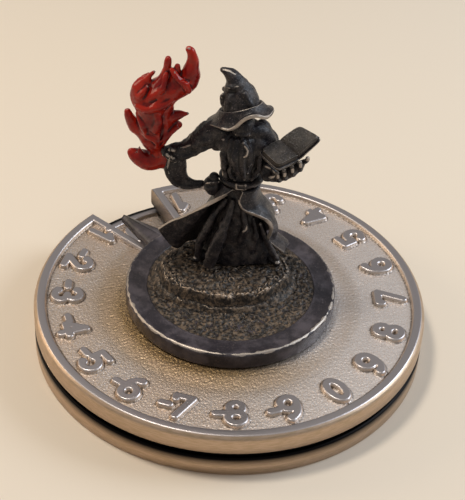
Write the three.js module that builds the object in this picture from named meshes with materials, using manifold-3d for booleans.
// A turning life counter in cast metal: two round dials share one pivot, and a
// small wizard figure stands on a round base whose pointer turns over them.
// Millimetres, +Z up. The origin is the middle of the underside, and the figure
// faces -Y.

import * as THREE from 'three';
import { mergeVertices } from 'three/addons/utils/BufferGeometryUtils.js';
import Module from 'manifold-3d';

const wasm = await Module();
wasm.setup();

// Fits. The seat gap parts two faces that rest on each other, the carve gap
// parts two figure castings, and the running fits are radial.
const seat_gap = 0.05;
const carve_gap = 0.1;
const running_fit = 0.08;
const thread_fit = 0.04;
const overrun = 1;
const weld_distance = 0.0005;

// Dials
const disc_diameter = 50.8;
const tens_disc_height = 2.9;
const ones_disc_height = 2.8;
const disc_gap = 0.7;
const rim_width = 1.2;
const rim_height = 0.4;
const rim_draft = 0.15;
const edge_break = 0.2;
const boss_diameter = 12;
const disc_steps = 96;

// The notch in the ones dial, with a lip along each of its straight edges
const notch_heading_deg = 130;
const notch_half_angle_deg = 11.6;
const notch_root_radius = 12.6;
const lip_width = 0.9;

// Numerals. Both rings of numerals are read from outside.
const numeral_ring_radius = 21.1;
const numeral_width = 2.05;
const numeral_height = 3.3;
const numeral_stroke = 0.85;
const numeral_relief = 0.35;
const minus_length = 1.0;
const minus_offset = 1.95;
const arc_steps_per_turn = 12;

// Pivot hardware
const screw_diameter = 3;
const screw_head_diameter = 6.6;
const screw_head_height = 0.95;
const screw_thread_length = 1.3;
const screw_slot_width = 0.8;
const screw_slot_depth = 0.5;
const head_recess_diameter = 7.6;
const head_recess_depth = 1.6;
const head_washer_diameter = 7;
const head_washer_height = 0.3;
const wave_washer_diameter = 7.4;
const wave_washer_stock = 0.25;
const wave_washer_width = 1.5;
const wave_count = 3;
const thrust_washer_diameter = 10;
const thrust_washer_height = 0.35;
const hardware_steps = 32;

// The figure's base and its pointer
const base_diameter = 27.1;
const base_height = 2.35;
const base_lift = 0.1;
const base_edge_break = 0.25;
const ground_diameter = 21.6;
const ground_depth = 0.3;
const ground_relief = 0.26;
const pointer_heading_deg = 137;
const pointer_reach = 20.8;
const pointer_root_radius = 12.4;
const pointer_root_half_width = 2.0;
const pointer_tip_half_width = 0.35;
const pointer_underside_lift = 0.5;
const pointer_root_height = 1.75;
const pointer_tip_height = 0.95;
const base_steps = 64;

// The oval mound that the figure is cast on
const mound_x = -0.9;
const mound_y = 1.2;
const mound_margin = 1.4;
const mound_half_depth = 6.3;
const mound_height = 2.1;
const mound_roughness = 0.3;

// The figure's axis, the heights of its waist and shoulders above the top of
// the mound, and that of the hat brim above the shoulders
const figure_x = 0.6;
const figure_y = 2.8;
const waist_rise = 12.8;
const shoulder_rise = 20.2;
const brim_above_shoulder = 2;

// Clothes
const hem_half_width = 5.4;
const hem_half_depth = 2.7;
const hem_set_back = 0.6;
const waist_half_width = 2.0;
const waist_half_depth = 1.8;
const robe_fold_depth = 0.35;
const robe_fold_count = 11;
const chest_half_width = 2.8;
const chest_half_depth = 2.1;
const belt_height = 1.1;
const belt_thickness = 0.35;
const buckle_width = 1.7;
const buckle_height = 1.1;
const buckle_thickness = 0.4;
const coat_wall = 0.9;
const coat_fold_depth = 0.3;
const left_tail_reach = 10.5;
const left_tail_lift = 3.4;
const right_tail_reach = 6.4;
const coat_hem_lift = 0.3;
const coat_back_gap_deg = 3;
const cape_height = 3.1;
const cape_half_width = 4.2;
const cape_half_depth = 2.9;
const cape_neck_half_width = 1.9;
const pouch_half_width = 1.15;
const pouch_half_depth = 1.05;
const pouch_half_height = 1.35;
const boot_length = 2.8;
const boot_half_width = 0.75;
const boot_height = 1.1;
const boot_spread = 3.6;
const boot_turn_deg = 42;

// Head and hat
const head_half_width = 1.65;
const head_half_depth = 1.95;
const head_half_height = 2.3;
const beard_length = 5.2;
const beard_half_width = 1.45;
const beard_half_depth = 0.7;
const brim_half_width = 4.15;
const brim_half_depth = 3.3;
const brim_thickness = 0.4;
const brim_front_lift = 1.4;
const brim_side_lift = 0.9;
const brim_wave = 0.4;
const brim_wave_heading_deg = 210;
const brim_shift = 0.75;
const crown_half_width = 2.6;
const crown_height = 6.2;
const crown_shift = 0.4;

// Arms, hands, book and flame. The book's place is the middle of its gutter.
const right_arm_reach = 5.4;
const sleeve_half_width = 1.3;
const sleeve_drop = 4.9;
const sleeve_mouth_half_depth = 0.7;
const left_arm_reach = 5.2;
const left_sleeve_half_width = 1.25;
const hand_length = 2.0;
const hand_half_width = 0.75;
const book_reach = 5.5;
const book_forward = 2.4;
const book_below_shoulder = 0.8;
const book_spine_length = 3.1;
const book_page_width = 3.1;
const book_board_thickness = 0.25;
const book_block_thickness = 0.75;
const book_board_overhang = 0.15;
const book_page_crown = 0.2;
const flame_height = 18;
const flame_root_drop = 1.35;

// Heights worked out from the sizes above
const ones_disc_bottom = tens_disc_height + disc_gap;
const ones_disc_top = ones_disc_bottom + ones_disc_height;
const ones_field = ones_disc_top - rim_height;
const tens_field = tens_disc_height - rim_height;
const base_bottom = ones_field + base_lift;
const base_top = base_bottom + base_height;
const ground_floor = base_top - ground_depth;
const mound_bottom = ground_floor + seat_gap;
const mound_top = mound_bottom + mound_height;
const figure_foot = mound_top + seat_gap;
const waist_z = mound_top + waist_rise;
const shoulder_z = mound_top + shoulder_rise;
const brim_z = shoulder_z + brim_above_shoulder;
const disc_radius = disc_diameter / 2;
const mound_half_length = ground_diameter / 2 - mound_margin;

const degrees = THREE.MathUtils.degToRad;
const lerp = THREE.MathUtils.lerp;
const full_turn = Math.PI * 2;

// Turns an indexed triangle list so that its faces point out
function facingOut(positions, indices) {
  let volume = 0;
  const corner = (i) => new THREE.Vector3().fromArray(positions, i * 3);
  for (let i = 0; i < indices.length; i += 3) {
    const [a, b, c] = [corner(indices[i]), corner(indices[i + 1]), corner(indices[i + 2])];
    volume += a.dot(b.cross(c));
  }
  return volume < 0 ? indices.reverse() : indices;
}

// A boolean solid from any closed three.js geometry
function solid(geometry) {
  const bare = geometry.clone();
  bare.deleteAttribute('normal');
  bare.deleteAttribute('uv');
  const merged = mergeVertices(bare, weld_distance);
  const positions = merged.attributes.position.array;
  const triVerts = facingOut(positions, Uint32Array.from(merged.index.array));
  return new wasm.Manifold(new wasm.Mesh({ numProp: 3, vertProperties: positions, triVerts }));
}

// The largest body of a carved solid, without the crumbs that a cut leaves
function mainBody(carved) {
  return carved.decompose().sort((a, b) => b.volume() - a.volume())[0];
}

function geometryOf(shape) {
  const { vertProperties, triVerts } = shape.getMesh();
  const geometry = new THREE.BufferGeometry();
  geometry.setAttribute('position', new THREE.BufferAttribute(vertProperties, 3));
  geometry.setIndex(new THREE.BufferAttribute(triVerts, 1));
  geometry.computeVertexNormals();
  return geometry;
}

function joined(shapes) {
  return shapes.reduce((whole, shape) => whole.add(shape));
}

function carved(shape, ...tools) {
  return mainBody(tools.reduce((rest, tool) => rest.subtract(tool), shape));
}

// A solid of revolution about Z from [radius, height] corners
function revolved(corners, steps) {
  const outline = corners.map(([radius, height]) => new THREE.Vector2(radius, height));
  return solid(new THREE.LatheGeometry(outline, steps).rotateX(Math.PI / 2));
}

function rod(radius, low, high, steps) {
  return revolved([[0, low], [radius, low], [radius, high], [0, high]], steps);
}

function washer(outer_diameter, inner_diameter, low, height) {
  const outer = outer_diameter / 2;
  const inner = inner_diameter / 2;
  const high = low + height;
  const corners = [[inner, low], [outer, low], [outer, high], [inner, high], [inner, low]];
  return revolved(corners, hardware_steps);
}

function extruded(outline, low, height, holes = []) {
  const shape = new THREE.Shape(outline);
  shape.holes = holes.map((hole) => new THREE.Path(hole));
  const geometry = new THREE.ExtrudeGeometry(shape, { depth: height, bevelEnabled: false });
  return solid(geometry.translate(0, 0, low));
}

// A closed solid through a stack of rings, each a list of points
function lofted(rings) {
  const count = rings[0].length;
  const points = rings.flat();
  const indices = [];
  for (let ring = 0; ring < rings.length - 1; ring += 1) {
    for (let i = 0; i < count; i += 1) {
      const a = ring * count + i;
      const b = ring * count + (i + 1) % count;
      indices.push(a, b, b + count, a, b + count, a + count);
    }
  }
  const middle = (ring) => ring.reduce((sum, p) => sum.add(p), new THREE.Vector3()).divideScalar(count);
  const low = points.push(middle(rings[0])) - 1;
  const high = points.push(middle(rings[rings.length - 1])) - 1;
  const last = (rings.length - 1) * count;
  for (let i = 0; i < count; i += 1) {
    const next = (i + 1) % count;
    indices.push(low, next, i, high, last + i, last + next);
  }
  const geometry = new THREE.BufferGeometry().setFromPoints(points);
  geometry.setIndex(indices);
  return solid(geometry);
}

// A level oval ring, which folds can wave
function oval({ x, y, z, half_width, half_depth, fold = 0, folds = 0, steps = 28 }) {
  return Array.from({ length: steps }, (_, i) => {
    const angle = full_turn * i / steps;
    const wave = fold * Math.cos(folds * angle);
    const across = (half_width + wave) * Math.cos(angle);
    const along = (half_depth + wave) * Math.sin(angle);
    return new THREE.Vector3(x + across, y + along, z);
  });
}

// A limb with an oval section through stations { at, wide, thick }, whose
// wide side lies across the limb and level unless a side is given
function limb(stations, grow = 0, side = new THREE.Vector3(0, 1, 0), steps = 12) {
  const rings = stations.map((station, index) => {
    const before = stations[Math.max(index - 1, 0)].at;
    const after = stations[Math.min(index + 1, stations.length - 1)].at;
    const along = after.clone().sub(before).normalize();
    const thick_way = side.clone().addScaledVector(along, -side.dot(along)).normalize();
    const wide_way = new THREE.Vector3().crossVectors(along, thick_way);
    const reach = index === 0 ? -grow : index === stations.length - 1 ? grow : 0;
    const centre = station.at.clone().addScaledVector(along, reach);
    return Array.from({ length: steps }, (_, i) => {
      const angle = full_turn * i / steps;
      return centre.clone()
        .addScaledVector(wide_way, (station.wide + grow) * Math.cos(angle))
        .addScaledVector(thick_way, (station.thick + grow) * Math.sin(angle));
    });
  });
  return lofted(rings);
}

// A sheet of cloth between two faces, each a function of two shares
function sheet(outer, inner, across_steps, along_steps) {
  const points = [];
  const width = across_steps + 1;
  const layer = width * (along_steps + 1);
  for (const face of [outer, inner]) {
    for (let row = 0; row <= along_steps; row += 1) {
      for (let column = 0; column <= across_steps; column += 1) {
        points.push(face(column / across_steps, row / along_steps));
      }
    }
  }
  const indices = [];
  const quad = (a, b, c, d) => indices.push(a, b, c, a, c, d);
  for (let row = 0; row < along_steps; row += 1) {
    for (let column = 0; column < across_steps; column += 1) {
      const a = row * width + column;
      quad(a, a + 1, a + 1 + width, a + width);
      quad(layer + a, layer + a + width, layer + a + width + 1, layer + a + 1);
    }
  }
  for (let column = 0; column < across_steps; column += 1) {
    const far = along_steps * width + column;
    quad(column, layer + column, layer + column + 1, column + 1);
    quad(far, far + 1, layer + far + 1, layer + far);
  }
  for (let row = 0; row < along_steps; row += 1) {
    const near = row * width;
    const far = near + across_steps;
    quad(near, near + width, layer + near + width, layer + near);
    quad(far, layer + far, layer + far + width, far + width);
  }
  const geometry = new THREE.BufferGeometry().setFromPoints(points);
  geometry.setIndex(indices);
  return solid(geometry);
}

function egg(centre, half_width, half_depth, half_height, steps = 16) {
  const ball = new THREE.SphereGeometry(1, steps, steps / 2);
  ball.scale(half_width, half_height, half_depth).rotateX(Math.PI / 2);
  return solid(ball.translate(centre.x, centre.y, centre.z));
}

function at(x, y, z) {
  return new THREE.Vector3(x, y, z);
}

function heading(angle_deg) {
  return new THREE.Vector2(Math.cos(degrees(angle_deg)), Math.sin(degrees(angle_deg)));
}

// Numerals. Each stroke is a straight line or an arc on a box that is one
// wide and one high, centred on zero.
const line = (...corners) => corners.map(([x, y]) => new THREE.Vector2(x, y));

function arc(x, y, radius_x, radius_y, from_deg, to_deg) {
  const span = Math.abs(to_deg - from_deg) / 360;
  const steps = Math.max(Math.round(arc_steps_per_turn * span), 2);
  return Array.from({ length: steps + 1 }, (_, i) => {
    const angle = degrees(lerp(from_deg, to_deg, i / steps));
    return new THREE.Vector2(x + radius_x * Math.cos(angle), y + radius_y * Math.sin(angle));
  });
}

const numeral_stroke_shares = {
  0: [arc(0, 0, 0.5, 0.5, 0, 360)],
  1: [line([-0.25, 0.3], [0.08, 0.5], [0.08, -0.5])],
  2: [[...arc(0, 0.2, 0.46, 0.3, 165, -30), ...line([-0.46, -0.5], [0.5, -0.5])]],
  3: [arc(0, 0.25, 0.42, 0.25, 150, -90), arc(0, -0.25, 0.5, 0.25, 90, -150)],
  4: [line([0.2, -0.5], [0.2, 0.5], [-0.5, -0.2], [0.5, -0.2])],
  5: [[...line([0.42, 0.5], [-0.36, 0.5], [-0.42, 0.06]), ...arc(0, -0.18, 0.5, 0.32, 130, -145)]],
  6: [arc(0, -0.2, 0.5, 0.3, 0, 360), arc(0.2, -0.15, 0.7, 0.65, 180, 95)],
  7: [line([-0.5, 0.5], [0.5, 0.5], [-0.15, -0.5])],
  8: [arc(0, 0.26, 0.42, 0.24, 0, 360), arc(0, -0.24, 0.5, 0.26, 0, 360)],
  9: [arc(0, 0.2, 0.5, 0.3, 0, 360), arc(-0.2, 0.15, 0.7, 0.65, 0, -85)],
};

// The outline that lies half a stroke to one side of a centre line. The limit
// keeps a sharp corner's mitre short.
const mitre_limit_share = 0.5;

function offsetLine(points, distance, closed) {
  const last = points.length - 1;
  return points.map((point, i) => {
    const before = points[i > 0 ? i - 1 : closed ? last - 1 : 0];
    const after = points[i < last ? i + 1 : closed ? 1 : last];
    const from = point.clone().sub(before);
    const to = after.clone().sub(point);
    const inward = from.lengthSq() > 0 ? from.normalize() : to.clone().normalize();
    const outward = to.lengthSq() > 0 ? to.normalize() : inward.clone();
    const tangent = inward.clone().add(outward).normalize();
    const mitre = distance / Math.max(tangent.dot(outward), mitre_limit_share);
    return point.clone().add(new THREE.Vector2(-tangent.y, tangent.x).multiplyScalar(mitre));
  });
}

function strokeSolid(points, low, height) {
  const half = numeral_stroke / 2;
  const last = points.length - 1;
  if (points[0].distanceTo(points[last]) < weld_distance) {
    const inner = offsetLine(points, half, true).slice(0, last);
    const outer = offsetLine(points, -half, true).slice(0, last);
    return extruded(outer, low, height, [inner]);
  }
  const ends = [points[0].clone().sub(points[1]), points[last].clone().sub(points[last - 1])];
  const long = [
    points[0].clone().add(ends[0].setLength(half)),
    ...points.slice(1, last),
    points[last].clone().add(ends[1].setLength(half)),
  ];
  return extruded([...offsetLine(long, half), ...offsetLine(long, -half).reverse()], low, height);
}

function numeralSolid(value, field, angle_deg) {
  const digit = Math.abs(value);
  const negative = Object.is(value, -0) || value < 0;
  const height = numeral_relief + rim_height / 2;
  const low = field - rim_height / 2;
  const strokes = numeral_stroke_shares[digit].map((stroke) => {
    const points = stroke.map((p) => new THREE.Vector2(p.x * numeral_width, p.y * numeral_height));
    return strokeSolid(points, low, height);
  });
  if (negative) {
    const half = minus_length / 2;
    const bar = line([-minus_offset - half, 0], [-minus_offset + half, 0]);
    strokes.push(strokeSolid(bar, low, height));
  }
  const ring = heading(angle_deg).multiplyScalar(numeral_ring_radius);
  return joined(strokes).rotate([0, 0, angle_deg + 90]).translate([ring.x, ring.y, 0]);
}

// The ones dial counts 1 to 9, 0 and -9 to -1, clockwise from its notch, which
// takes one place of the ring. The tens dial counts 0 to 9.
const ones_counts = [1, 2, 3, 4, 5, 6, 7, 8, 9, 0, -9, -8, -7, -6, -5, -4, -3, -2, -1];
const ones_places = ones_counts.length + 1;
const tens_counts = [0, 1, 2, 3, 4, 5, 6, 7, 8, 9];

// One dial as a plain disc: a field inside a raised rim
function dialBlank(bottom, height) {
  const top = bottom + height;
  const field = top - rim_height;
  const inner = disc_radius - rim_width;
  return revolved([
    [0, bottom],
    [disc_radius - edge_break, bottom],
    [disc_radius, bottom + edge_break],
    [disc_radius, top - edge_break],
    [disc_radius - edge_break, top],
    [inner, top],
    [inner - rim_draft, field],
    [0, field],
  ], disc_steps);
}

// The wedge-shaped space of the notch
function wedge(from_radius, to_radius, low, height) {
  const corner = (radius, side) => {
    return heading(notch_heading_deg + side * notch_half_angle_deg).multiplyScalar(radius);
  };
  const near = [corner(from_radius, 1), corner(from_radius, -1)];
  const far = [corner(to_radius, -1), corner(to_radius, 1)];
  return extruded([...near, ...far], low, height);
}

// The lip along one straight edge of the notch, from the rim to the base
function notchLip(side) {
  const edge = heading(notch_heading_deg + side * notch_half_angle_deg);
  const across = new THREE.Vector2(-edge.y, edge.x).multiplyScalar(side * lip_width);
  const near = edge.clone().multiplyScalar(base_diameter / 2 + running_fit + edge_break);
  const far = edge.clone().multiplyScalar(disc_radius - rim_width / 2);
  const outline = [near, far, far.clone().add(across), near.clone().add(across)];
  return extruded(outline, ones_field - rim_height, rim_height * 2);
}

function onesDial() {
  const notch_reach = disc_radius * 2;
  const cut_height = ones_disc_height + overrun * 2;
  const low = ones_disc_bottom - overrun;
  const notch = wedge(notch_root_radius, notch_reach, low, cut_height);
  const bore = rod(screw_diameter / 2 + running_fit, low, low + cut_height, hardware_steps);
  const numerals = ones_counts.map((value, i) => {
    const angle = notch_heading_deg - (i + 1) * 360 / ones_places;
    return numeralSolid(value, ones_field, angle);
  });
  const plain = dialBlank(ones_disc_bottom, ones_disc_height);
  return joined([plain, notchLip(1), notchLip(-1), ...numerals]).subtract(notch).subtract(bore);
}

function tensDial() {
  const boss = rod(boss_diameter / 2, tens_field - rim_height, tens_disc_height, disc_steps / 2);
  const bore = rod(screw_diameter / 2 + running_fit, -overrun, tens_disc_height + overrun, hardware_steps);
  const recess = rod(head_recess_diameter / 2, -overrun, head_recess_depth, hardware_steps);
  const numerals = tens_counts.map((value, i) => {
    return numeralSolid(value, tens_field, notch_heading_deg - i * 360 / tens_counts.length);
  });
  const blank = joined([dialBlank(0, tens_disc_height), boss, ...numerals]);
  return blank.subtract(bore).subtract(recess);
}

// Pivot hardware, from the screw's head under the tens dial to its threaded
// end in the figure's base
const head_washer_bottom = head_recess_depth - seat_gap - head_washer_height;
const screw_head_top = head_washer_bottom - seat_gap;
const screw_end = base_bottom + screw_thread_length;

function pivotScrew() {
  const head_bottom = screw_head_top - screw_head_height;
  const head = rod(screw_head_diameter / 2, head_bottom, screw_head_top, hardware_steps);
  const shank = rod(screw_diameter / 2, head_bottom, screw_end, hardware_steps);
  const slot = new THREE.BoxGeometry(screw_head_diameter + overrun, screw_slot_width, screw_slot_depth * 2);
  return head.add(shank).subtract(solid(slot.translate(0, 0, head_bottom)));
}

function headWasher() {
  const inner = screw_diameter + running_fit * 2;
  return washer(head_washer_diameter, inner, head_washer_bottom, head_washer_height);
}

function thrustWasher() {
  const inner = screw_diameter + running_fit * 2;
  return washer(thrust_washer_diameter, inner, ones_field + seat_gap, thrust_washer_height);
}

// A ring that waves up and down and bears on both dials
function waveWasher() {
  const travel = disc_gap - seat_gap * 2 - wave_washer_stock;
  const low = tens_disc_height + seat_gap;
  const outer = wave_washer_diameter / 2;
  const inner = outer - wave_washer_width;
  const ring = (radius, lift) => Array.from({ length: hardware_steps * 2 }, (_, i) => {
    const angle = full_turn * i / (hardware_steps * 2);
    const wave = travel * (1 + Math.cos(wave_count * angle)) / 2;
    return at(radius * Math.cos(angle), radius * Math.sin(angle), low + lift + wave);
  });
  const stock = wave_washer_stock;
  return loop([ring(inner, 0), ring(outer, 0), ring(outer, stock), ring(inner, stock)]);
}

// A closed loop through rings that meet again at the first one
function loop(rings) {
  const count = rings[0].length;
  const indices = [];
  rings.forEach((_, ring) => {
    const next_ring = (ring + 1) % rings.length;
    for (let i = 0; i < count; i += 1) {
      const next = (i + 1) % count;
      const [a, b] = [ring * count + i, ring * count + next];
      const [c, d] = [next_ring * count + next, next_ring * count + i];
      indices.push(a, b, c, a, c, d);
    }
  });
  const geometry = new THREE.BufferGeometry().setFromPoints(rings.flat());
  geometry.setIndex(indices);
  return solid(geometry);
}

// The round base with its pointer, bored from below for the pivot
function pointerBase() {
  const radius = base_diameter / 2;
  const body = revolved([
    [0, base_bottom],
    [radius, base_bottom],
    [radius, base_top - base_edge_break],
    [radius - base_edge_break, base_top],
    [ground_diameter / 2, base_top],
    [ground_diameter / 2, ground_floor],
    [0, ground_floor],
  ], base_steps);
  const bore_radius = screw_diameter / 2 + thread_fit;
  const bore = rod(bore_radius, base_bottom - overrun, screw_end + seat_gap, hardware_steps);
  const washer_room = thrust_washer_height + seat_gap * 2 - base_lift;
  const washer_radius = thrust_washer_diameter / 2 + running_fit;
  const recess = rod(washer_radius, base_bottom - overrun, base_bottom + washer_room, hardware_steps);
  return body.add(pointer()).subtract(recess).subtract(bore);
}

function pointer() {
  const way = heading(pointer_heading_deg);
  const across = new THREE.Vector2(-way.y, way.x);
  const low = ones_field + pointer_underside_lift;
  const section = (radius, half_width, height) => {
    const left = way.clone().multiplyScalar(radius).addScaledVector(across, half_width);
    const right = way.clone().multiplyScalar(radius).addScaledVector(across, -half_width);
    return [
      at(left.x, left.y, low), at(right.x, right.y, low),
      at(right.x, right.y, low + height), at(left.x, left.y, low + height),
    ];
  };
  return lofted([
    section(pointer_root_radius, pointer_root_half_width, pointer_root_height),
    section(pointer_reach, pointer_tip_half_width, pointer_tip_height),
  ]);
}

// The mound's rings, from its foot to its top
const mound_ring_shares = [[0, 1], [0.35, 0.99], [0.78, 0.92], [1, 0.8]];
const few_lump_count = 3;
const many_lump_count = 8;
const mound_steps = 40;

function moundRing(z, spread, grow) {
  return Array.from({ length: mound_steps }, (_, i) => {
    const angle = full_turn * i / mound_steps;
    const lump = mound_roughness * Math.sin(few_lump_count * angle) * Math.cos(many_lump_count * angle);
    const across = (mound_half_length * spread + lump + grow) * Math.cos(angle);
    const along = (mound_half_depth * spread + lump + grow) * Math.sin(angle);
    return at(mound_x + across, mound_y + along, z);
  });
}

function mound() {
  return lofted(mound_ring_shares.map(([rise, spread]) => {
    return moundRing(mound_bottom + mound_height * rise, spread, 0);
  }));
}

// The rough ground that fills the base's recess around the mound
function groundFill() {
  const disc = rod(ground_diameter / 2 - seat_gap, mound_bottom, mound_bottom + ground_relief, base_steps);
  const low = mound_bottom - overrun;
  const high = mound_bottom + ground_relief + overrun;
  return carved(disc, lofted([moundRing(low, 1, carve_gap), moundRing(high, 1, carve_gap)]));
}

// The inner robe, a bell from the waist to the mound. Its rings give the rise,
// the flare and the depth of the folds.
const robe_ring_shares = [[0, 1, 1], [0.12, 0.86, 1], [0.35, 0.6, 0.8], [0.65, 0.28, 0.5], [1, 0, 0.1]];

function robe(grow = 0) {
  return lofted(robe_ring_shares.map(([rise, flare, fold], index) => {
    const end = index === 0 ? -grow : 0;
    return oval({
      x: figure_x,
      y: figure_y + hem_set_back * flare,
      z: lerp(figure_foot, waist_z, rise) + end,
      half_width: lerp(waist_half_width, hem_half_width, flare) + grow,
      half_depth: lerp(waist_half_depth, hem_half_depth, flare) + grow,
      fold: robe_fold_depth * fold,
      folds: robe_fold_count,
      steps: 44,
    });
  }));
}

// The coat above the belt, from the waist to the neck. Its rings give the rise
// and how far it has swelled to the chest.
const torso_ring_shares = [[0, 0], [0.3, 0.55], [0.65, 1], [0.88, 0.95], [1, 0.35]];

function torso(grow = 0) {
  const low = waist_z + belt_height;
  return lofted(torso_ring_shares.map(([rise, swell]) => oval({
    x: figure_x,
    y: figure_y,
    z: lerp(low, shoulder_z, rise) + (rise === 0 ? -grow : rise === 1 ? grow : 0),
    half_width: lerp(waist_half_width, chest_half_width, swell) + grow,
    half_depth: lerp(waist_half_depth, chest_half_depth, swell) + grow,
    steps: 24,
  })));
}

function belt(grow = 0) {
  const ring = (z) => oval({
    x: figure_x,
    y: figure_y,
    z,
    half_width: waist_half_width + belt_thickness + grow,
    half_depth: waist_half_depth + belt_thickness + grow,
    steps: 32,
  });
  return lofted([ring(waist_z + carve_gap - grow), ring(waist_z + belt_height - carve_gap + grow)]);
}

function buckle(grow = 0) {
  const front = figure_y - waist_half_depth - belt_thickness - carve_gap;
  const sizes = [buckle_width, buckle_thickness, buckle_height].map((size) => size + grow * 2);
  const frame = new THREE.BoxGeometry(...sizes);
  return solid(frame.translate(figure_x, front - buckle_thickness / 2, waist_z + belt_height / 2));
}

// Each coat tail's hem runs from its front corner to the vent at the back, in
// degrees round from the vent, and in shares of the tail's reach and its lift
const left_hem_shares = [
  [82, 1, 1], [82, 0.84, 0.42], [79, 0.7, 0.04], [60, 0.65, 0], [30, 0.61, 0], [0, 0.59, 0],
];
const right_hem_shares = [
  [88, 1, 0], [74, 0.98, 0], [56, 0.96, 0], [38, 0.95, 0], [19, 0.96, 0], [0, 0.96, 0],
];
const left_belt_span_deg = 170;
const right_belt_span_deg = 181;
const vent_heading_deg = 90;
const coat_pleat_count = 5;
const tail_column_count = 10;
const tail_row_count = 7;
const tail_turn_power_share = 0.42;
const tail_flare_power_share = 0.85;

// One side of the coat's skirt. Each row runs from the belt to the hem, and
// the columns run from the open front round to the vent at the back.
function coatTail({ side, belt_span_deg, hem_shares, reach, lift, grow = 0 }) {
  const hem = new THREE.CatmullRomCurve3(hem_shares.map((shares) => new THREE.Vector3(...shares)));
  const start = waist_half_depth + belt_thickness;
  const face = (inset) => (across, down) => {
    const { x: hem_span_deg, y: reach_share, z: lift_share } = hem.getPoint(across);
    const belt_angle = belt_span_deg * (1 - across);
    const span = lerp(belt_angle, hem_span_deg, Math.pow(down, tail_turn_power_share)) + coat_back_gap_deg;
    const fold = coat_fold_depth * Math.cos(across * Math.PI * coat_pleat_count) * down;
    const flared = lerp(start, reach * reach_share, Math.pow(down, tail_flare_power_share));
    const way = heading(vent_heading_deg + side * span).multiplyScalar(flared + fold - inset + grow);
    const hem_z = mound_top + coat_hem_lift + lift * lift_share;
    return at(figure_x + way.x, figure_y + way.y, lerp(waist_z, hem_z, down));
  };
  return sheet(face(0), face(coat_wall), tail_column_count, tail_row_count);
}

function leftTail(grow = 0) {
  return coatTail({
    side: 1,
    belt_span_deg: left_belt_span_deg,
    hem_shares: left_hem_shares,
    reach: left_tail_reach,
    lift: left_tail_lift,
    grow,
  });
}

function rightTail(grow = 0) {
  return coatTail({
    side: -1,
    belt_span_deg: right_belt_span_deg,
    hem_shares: right_hem_shares,
    reach: right_tail_reach,
    lift: 0,
    grow,
  });
}

// A short cape over the shoulders. Its rings give the rise, and its width and
// depth between those of the neck and those of its hem.
const cape_ring_shares = [[0, 1, 1], [0.55, 0.82, 0.78], [1, 0, 0]];

function cape(grow = 0) {
  const neck = shoulder_z + carve_gap + cape_neck_half_width / 4;
  return lofted(cape_ring_shares.map(([rise, across, along]) => oval({
    x: figure_x,
    y: figure_y,
    z: neck - cape_height * (1 - rise) + (rise === 0 ? -grow : rise === 1 ? grow : 0),
    half_width: lerp(cape_neck_half_width, cape_half_width, across) + grow,
    half_depth: lerp(cape_neck_half_width, cape_half_depth, along) + grow,
    steps: 28,
  })));
}

const pouch_place_shares = [1.35, 0.65];

function pouch(grow = 0) {
  const [out, forward] = pouch_place_shares;
  const side = figure_x - waist_half_width - pouch_half_width * out;
  const centre = at(side, figure_y - pouch_half_depth * forward, waist_z - belt_height / 2);
  return egg(centre, pouch_half_width + grow, pouch_half_depth + grow, pouch_half_height + grow);
}

// Stations along a boot from heel to toe: the way along it, width and height
const boot_station_shares = [[0, 1, 1], [0.6, 1.1, 0.85], [1, 0.5, 0.45]];

function boot(side) {
  const turn = degrees(boot_turn_deg);
  const toe_way = at(side * Math.sin(turn), -Math.cos(turn), 0);
  const heel = at(figure_x + side * boot_spread, figure_y + hem_set_back, figure_foot);
  return limb(boot_station_shares.map(([along, wide, tall]) => ({
    at: heel.clone().addScaledVector(toe_way, boot_length * along).add(at(0, 0, boot_height * tall / 2)),
    wide: boot_half_width * wide,
    thick: boot_height * tall / 2,
  })), 0, at(0, 0, 1));
}

// The head sits forward of the figure's axis and up inside the hat
const head_place_shares = [-0.1, -0.4, -0.62];
const head_centre = at(
  figure_x + head_half_width * head_place_shares[0],
  figure_y + head_half_depth * head_place_shares[1],
  brim_z + head_half_height * head_place_shares[2],
);

function head(grow = 0) {
  return egg(head_centre, head_half_width + grow, head_half_depth + grow, head_half_height + grow);
}

// Stations down the beard: sideways, forward, down and width, in shares of
// its length, its half depth and its half width
const beard_station_shares = [
  [0, 0, 0, 0.8], [0.02, 0.35, 0.3, 1], [0.07, 0.3, 0.68, 0.7], [0.09, 0, 1, 0.2],
];
const chin_place_shares = [-0.85, -0.35];

function beard(grow = 0) {
  const [forward_share, down_share] = chin_place_shares;
  const chin = head_centre.clone().add(at(0, head_half_depth * forward_share, head_half_height * down_share));
  return limb(beard_station_shares.map(([sideways, forward, down, wide]) => ({
    at: chin.clone().add(at(beard_length * sideways, -beard_half_depth * forward, -beard_length * down)),
    wide: beard_half_width * wide,
    thick: beard_half_depth * wide,
  })), grow, at(0, 1, 0));
}

// The hat's brim: an oval sheet that rises to its front and its left side, and
// waves. Its rings run from the crown out and back over the top.
const brim_ring_shares = [0.3, 0.7, 1];
const brim_steps = 32;

function brim(grow = 0) {
  const point = (angle, out, lift) => {
    const x = Math.cos(angle) * out;
    const y = Math.sin(angle) * out;
    const wave = brim_wave * Math.sin(2 * angle + degrees(brim_wave_heading_deg)) * out * out;
    return at(
      figure_x - brim_shift + (brim_half_width + grow) * x,
      figure_y + (brim_half_depth + grow) * y,
      brim_z + brim_side_lift * x - brim_front_lift * y + wave + lift,
    );
  };
  const half = brim_thickness / 2 + grow;
  const ring = (out, lift) => Array.from({ length: brim_steps }, (_, i) => {
    return point(full_turn * i / brim_steps, out, lift);
  });
  const under = brim_ring_shares.map((out) => ring(out, -half));
  const over = brim_ring_shares.map((out) => ring(out, half)).reverse();
  return lofted([...under, ...over]);
}

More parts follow.
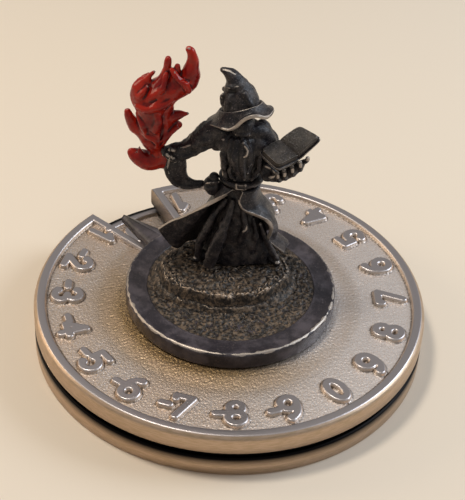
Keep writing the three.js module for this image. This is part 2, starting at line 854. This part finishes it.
// Stations up the crown: sideways, back, up and half width, in shares of the
// crown's height and its half width
const crown_station_shares = [
  [0, 0, 0, 1], [-0.01, 0.02, 0.26, 0.93], [-0.1, 0.04, 0.48, 0.83],
  [-0.12, 0.06, 0.74, 0.56], [-0.225, 0.07, 0.89, 0.33], [-0.42, 0.08, 1, 0.12],
];
const crown_steps = 20;

function crown(grow = 0) {
  const foot = at(figure_x - crown_shift, figure_y, brim_z - brim_thickness / 2);
  return limb(crown_station_shares.map(([sideways, back, rise, wide]) => ({
    at: foot.clone().add(at(crown_height * sideways, crown_height * back, crown_height * rise)),
    wide: crown_half_width * wide,
    thick: crown_half_width * wide,
  })), grow, at(0, 1, 0), crown_steps);
}

// Arms, from the shoulders outwards, in shares of each arm's reach and of its
// sleeve's half width
const right_arm_shares = [
  [0, 0, 0, 1.1], [-0.32, 0, -0.2, 1], [-0.64, 0, -0.36, 0.95], [-0.95, 0, -0.48, 1],
];
const left_arm_shares = [
  [0, 0, 0, 1.1], [0.14, 0.02, -0.44, 1], [0.1, -0.14, -0.88, 0.85], [0.33, -0.34, -0.97, 0.7],
];
const right_shoulder_shares = [1.15, 0.55];
const left_shoulder_shares = [0.93, 0.2];

function shoulder(side, [out_share, down_share], half_width) {
  const out = chest_half_width * out_share;
  return at(figure_x + side * out, figure_y, shoulder_z - half_width * down_share);
}

function fromStart(start, reach, [x, y, z]) {
  return start.clone().add(at(reach * x, reach * y, reach * z));
}

function armStations(start, reach, shares, half_width) {
  return shares.map((station) => ({
    at: fromStart(start, reach, station),
    wide: half_width * station[3],
    thick: half_width * station[3],
  }));
}

const right_shoulder = shoulder(-1, right_shoulder_shares, sleeve_half_width);
const left_shoulder = shoulder(1, left_shoulder_shares, left_sleeve_half_width);
const right_wrist = fromStart(right_shoulder, right_arm_reach, right_arm_shares[3]);
const left_wrist = fromStart(left_shoulder, left_arm_reach, left_arm_shares[3]);

function rightSleeve(grow = 0) {
  return limb(armStations(right_shoulder, right_arm_reach, right_arm_shares, sleeve_half_width), grow);
}

function leftSleeve(grow = 0) {
  return limb(armStations(left_shoulder, left_arm_reach, left_arm_shares, left_sleeve_half_width), grow);
}

// The long mouth of the right sleeve hangs from the wrist and trails to the
// belt, in shares of its drop and of the sleeve's half width
const sleeve_drop_shares = [
  [-0.02, -0.15, 0.9], [0.0, -0.45, 1.05], [0.22, -0.8, 0.8], [0.5, -0.97, 0.55], [0.72, -0.93, 0.4],
];

function sleeveDrop(grow = 0) {
  return limb(sleeve_drop_shares.map(([x, z, wide]) => ({
    at: fromStart(right_wrist, sleeve_drop, [x, 0, z]),
    wide: sleeve_half_width * wide,
    thick: sleeve_mouth_half_depth,
  })), grow);
}

// Hands, in shares of a hand's length and half width from the wrist
const right_hand_place_shares = [-0.45, -0.1, -0.15];
const right_hand_size_shares = [1.15, 0.9, 1];
const left_hand_shares = [[0, 0, 0, 0.8, 0.7], [0.8, -0.3, 0.7, 1.1, 0.8], [1.35, -0.35, 1.65, 0.95, 0.7]];
const left_hand_side_shares = [-1, 0.3, 1.2];

function rightHand(grow = 0) {
  const knuckles = fromStart(right_wrist, hand_length, right_hand_place_shares);
  const [width, depth, height] = right_hand_size_shares.map((share) => hand_half_width * share + grow);
  return egg(knuckles, width, depth, height);
}

function leftHand(grow = 0) {
  return limb(left_hand_shares.map((station) => ({
    at: fromStart(left_wrist, hand_length, station),
    wide: hand_half_width * station[3],
    thick: hand_half_width * station[4],
  })), grow, at(...left_hand_side_shares));
}

// The open book lies on the left hand. Its spine points away from the figure,
// and its two halves rise from the gutter.
const spine_way_shares = [0.72, -0.63, -0.27];
const far_way_shares = [0.8, 0.42, 0.42];
const near_way_shares = [-0.77, -0.63, -0.02];
const book_spine_way = at(...spine_way_shares).normalize();
const book_far_way = at(...far_way_shares).normalize();
const book_near_way = at(...near_way_shares).normalize();
const book_z = shoulder_z - book_below_shoulder;
const book_gutter = at(figure_x + book_reach, figure_y - book_forward, book_z);
const page_crown_share = 0.4;

// A point of one half of the book: along the spine, out from the gutter and up
function bookPoint(page_way, spine_distance, out, lift) {
  const rise = new THREE.Vector3().crossVectors(book_spine_way, page_way);
  rise.multiplyScalar(Math.sign(rise.z)).normalize();
  return book_gutter.clone()
    .addScaledVector(book_spine_way, spine_distance)
    .addScaledVector(page_way, out)
    .addScaledVector(rise, lift);
}

// A slab of one half of the book, from its [out, lift] section
function bookSlab(page_way, length, section) {
  const end = (distance) => section.map(([out, lift]) => bookPoint(page_way, distance, out, lift));
  return lofted([end(-length / 2), end(length / 2)]);
}

function bookPages(page_way) {
  const inner = carve_gap * 2;
  const outer = inner + book_page_width;
  return bookSlab(page_way, book_spine_length, [
    [inner, 0],
    [outer, 0],
    [outer, book_block_thickness],
    [lerp(inner, outer, page_crown_share), book_block_thickness + book_page_crown],
    [inner, book_block_thickness],
  ]);
}

function bookCover(grow = 0) {
  const outer = book_page_width + book_board_overhang + carve_gap * 2 + grow;
  const length = book_spine_length + book_board_overhang * 2 + grow * 2;
  const low = -carve_gap - book_board_thickness - grow;
  const high = -carve_gap + grow;
  const inner = -book_board_thickness;
  const section = [[inner, low], [outer, low], [outer, high], [inner, high]];
  return joined([book_far_way, book_near_way].map((way) => bookSlab(way, length, section)));
}

// The flame is a bundle of tongues that leave the right hand. Each station is
// sideways, back, up and radius, in shares of the flame's height.
const flame_tongue_shares = [
  [[-0.064, 0, 0, 0.06], [-0.053, 0, 0.117, 0.078], [-0.042, 0.02, 0.228, 0.12], [-0.047, 0, 0.339, 0.128],
    [-0.064, -0.02, 0.45, 0.128], [0.04, 0, 0.56, 0.135], [0.115, 0.01, 0.672, 0.118],
    [0.165, 0, 0.755, 0.075], [0.185, -0.01, 0.817, 0.035], [0.18, -0.01, 0.878, 0.012]],
  [[-0.042, 0, 0.017, 0.06], [-0.103, 0.01, -0.045, 0.067],
    [-0.169, 0, -0.028, 0.045], [-0.214, 0, 0.028, 0.013]],
  [[-0.09, -0.02, 0.03, 0.055], [-0.125, -0.03, 0.065, 0.03], [-0.142, -0.03, 0.1, 0.01]],
  [[-0.075, 0.02, 0.217, 0.072], [-0.169, 0.03, 0.272, 0.047], [-0.236, 0.03, 0.367, 0.013]],
  [[-0.086, 0, 0.44, 0.1], [-0.142, 0, 0.517, 0.067], [-0.12, 0, 0.594, 0.039], [-0.053, 0, 0.667, 0.012]],
  [[0.003, 0.01, 0.56, 0.083], [0.025, 0.03, 0.705, 0.045], [0.036, 0.03, 0.783, 0.015]],
  [[-0.02, -0.01, 0.339, 0.078], [0.086, -0.03, 0.367, 0.045], [0.175, -0.03, 0.361, 0.013]],
  [[-0.025, 0.01, 0.25, 0.072], [0.07, 0.03, 0.244, 0.039], [0.142, 0.03, 0.25, 0.013]],
];
const flame_depth_share = 0.8;
const flame_steps = 10;
const flame_root_share = -0.85;

function flame() {
  const root = right_wrist.clone().add(at(hand_length * flame_root_share, 0, -flame_root_drop));
  return joined(flame_tongue_shares.map((tongue) => limb(tongue.map((station) => ({
    at: fromStart(root, flame_height, station),
    wide: flame_height * station[3],
    thick: flame_height * station[3] * flame_depth_share,
  })), 0, at(0, 1, 0), flame_steps)));
}

// Finishes
const finish_values = {
  pewter: { color: '#a39c94', roughness: 0.42, metalness: 0.9 },
  steel: { color: '#b4b4b2', roughness: 0.35, metalness: 1 },
  brass: { color: '#b08d4a', roughness: 0.4, metalness: 1 },
  nylon: { color: '#d9d6cc', roughness: 0.6, metalness: 0 },
  black_paint: { color: '#26242a', roughness: 0.45, metalness: 0.1 },
  ground_paint: { color: '#2c2927', roughness: 0.8, metalness: 0.1 },
  red_enamel: { color: '#8c1712', roughness: 0.22, metalness: 0.1 },
};

const counter = new THREE.Group();

function place(name, finish, shape) {
  const mesh = new THREE.Mesh(geometryOf(shape), new THREE.MeshStandardMaterial(finish_values[finish]));
  mesh.name = name;
  counter.add(mesh);
}

// The turning dials and what holds them
place('tens_dial', 'pewter', tensDial());
place('ones_dial', 'pewter', onesDial());
place('pivot_screw', 'steel', pivotScrew());
place('head_washer', 'steel', headWasher());
place('wave_washer', 'brass', waveWasher());
place('thrust_washer', 'nylon', thrustWasher());
place('pointer_base', 'black_paint', pointerBase());
place('ground_fill', 'ground_paint', groundFill());
place('mound', 'ground_paint', mound());

// The figure, from the feet up, each piece carved clear of those below it
const clear = carve_gap;
place('right_boot', 'black_paint', carved(boot(-1), robe(clear)));
place('left_boot', 'black_paint', carved(boot(1), robe(clear)));
place('robe', 'black_paint', robe());
const coat_core = [robe(clear), belt(clear), torso(clear)];
place('left_coat_tail', 'black_paint', carved(leftTail(), ...coat_core));
place('right_coat_tail', 'black_paint', carved(rightTail(), ...coat_core));
place('belt', 'black_paint', carved(belt()));
place('buckle', 'black_paint', buckle());
place('torso', 'black_paint', torso());
place('pouch', 'black_paint', carved(pouch(), belt(clear), robe(clear), torso(clear), leftTail(clear)));
place('shoulder_cape', 'black_paint', carved(cape(), torso(clear), head(clear)));
place('head', 'black_paint', carved(head(), torso(clear)));
const chest = [head(clear), torso(clear), cape(clear), buckle(clear), belt(clear)];
place('beard', 'black_paint', carved(beard(), ...chest));
place('hat_crown', 'black_paint', carved(crown(), head(clear), cape(clear)));
place('hat_brim', 'black_paint', carved(brim(), crown(clear), head(clear), cape(clear)));
const body_core = [torso(clear), cape(clear), belt(clear)];
place('right_sleeve', 'black_paint', carved(rightSleeve(), ...body_core, brim(clear)));
place('right_cuff', 'black_paint', carved(sleeveDrop(), rightSleeve(clear), pouch(clear), ...body_core));
place('right_hand', 'black_paint', carved(rightHand(), rightSleeve(clear), sleeveDrop(clear)));
place('left_sleeve', 'black_paint', carved(leftSleeve(), ...body_core, brim(clear)));
place('left_hand', 'black_paint', carved(leftHand(), leftSleeve(clear), bookCover(clear)));
place('book_cover', 'black_paint', carved(bookCover(), ...body_core, leftSleeve(clear)));
place('far_pages', 'black_paint', carved(bookPages(book_far_way), ...body_core, leftSleeve(clear)));
place('near_pages', 'black_paint', carved(bookPages(book_near_way), ...body_core, leftSleeve(clear)));
place('flame', 'red_enamel', carved(flame(), rightHand(clear), rightSleeve(clear), sleeveDrop(clear)));

export default counter;
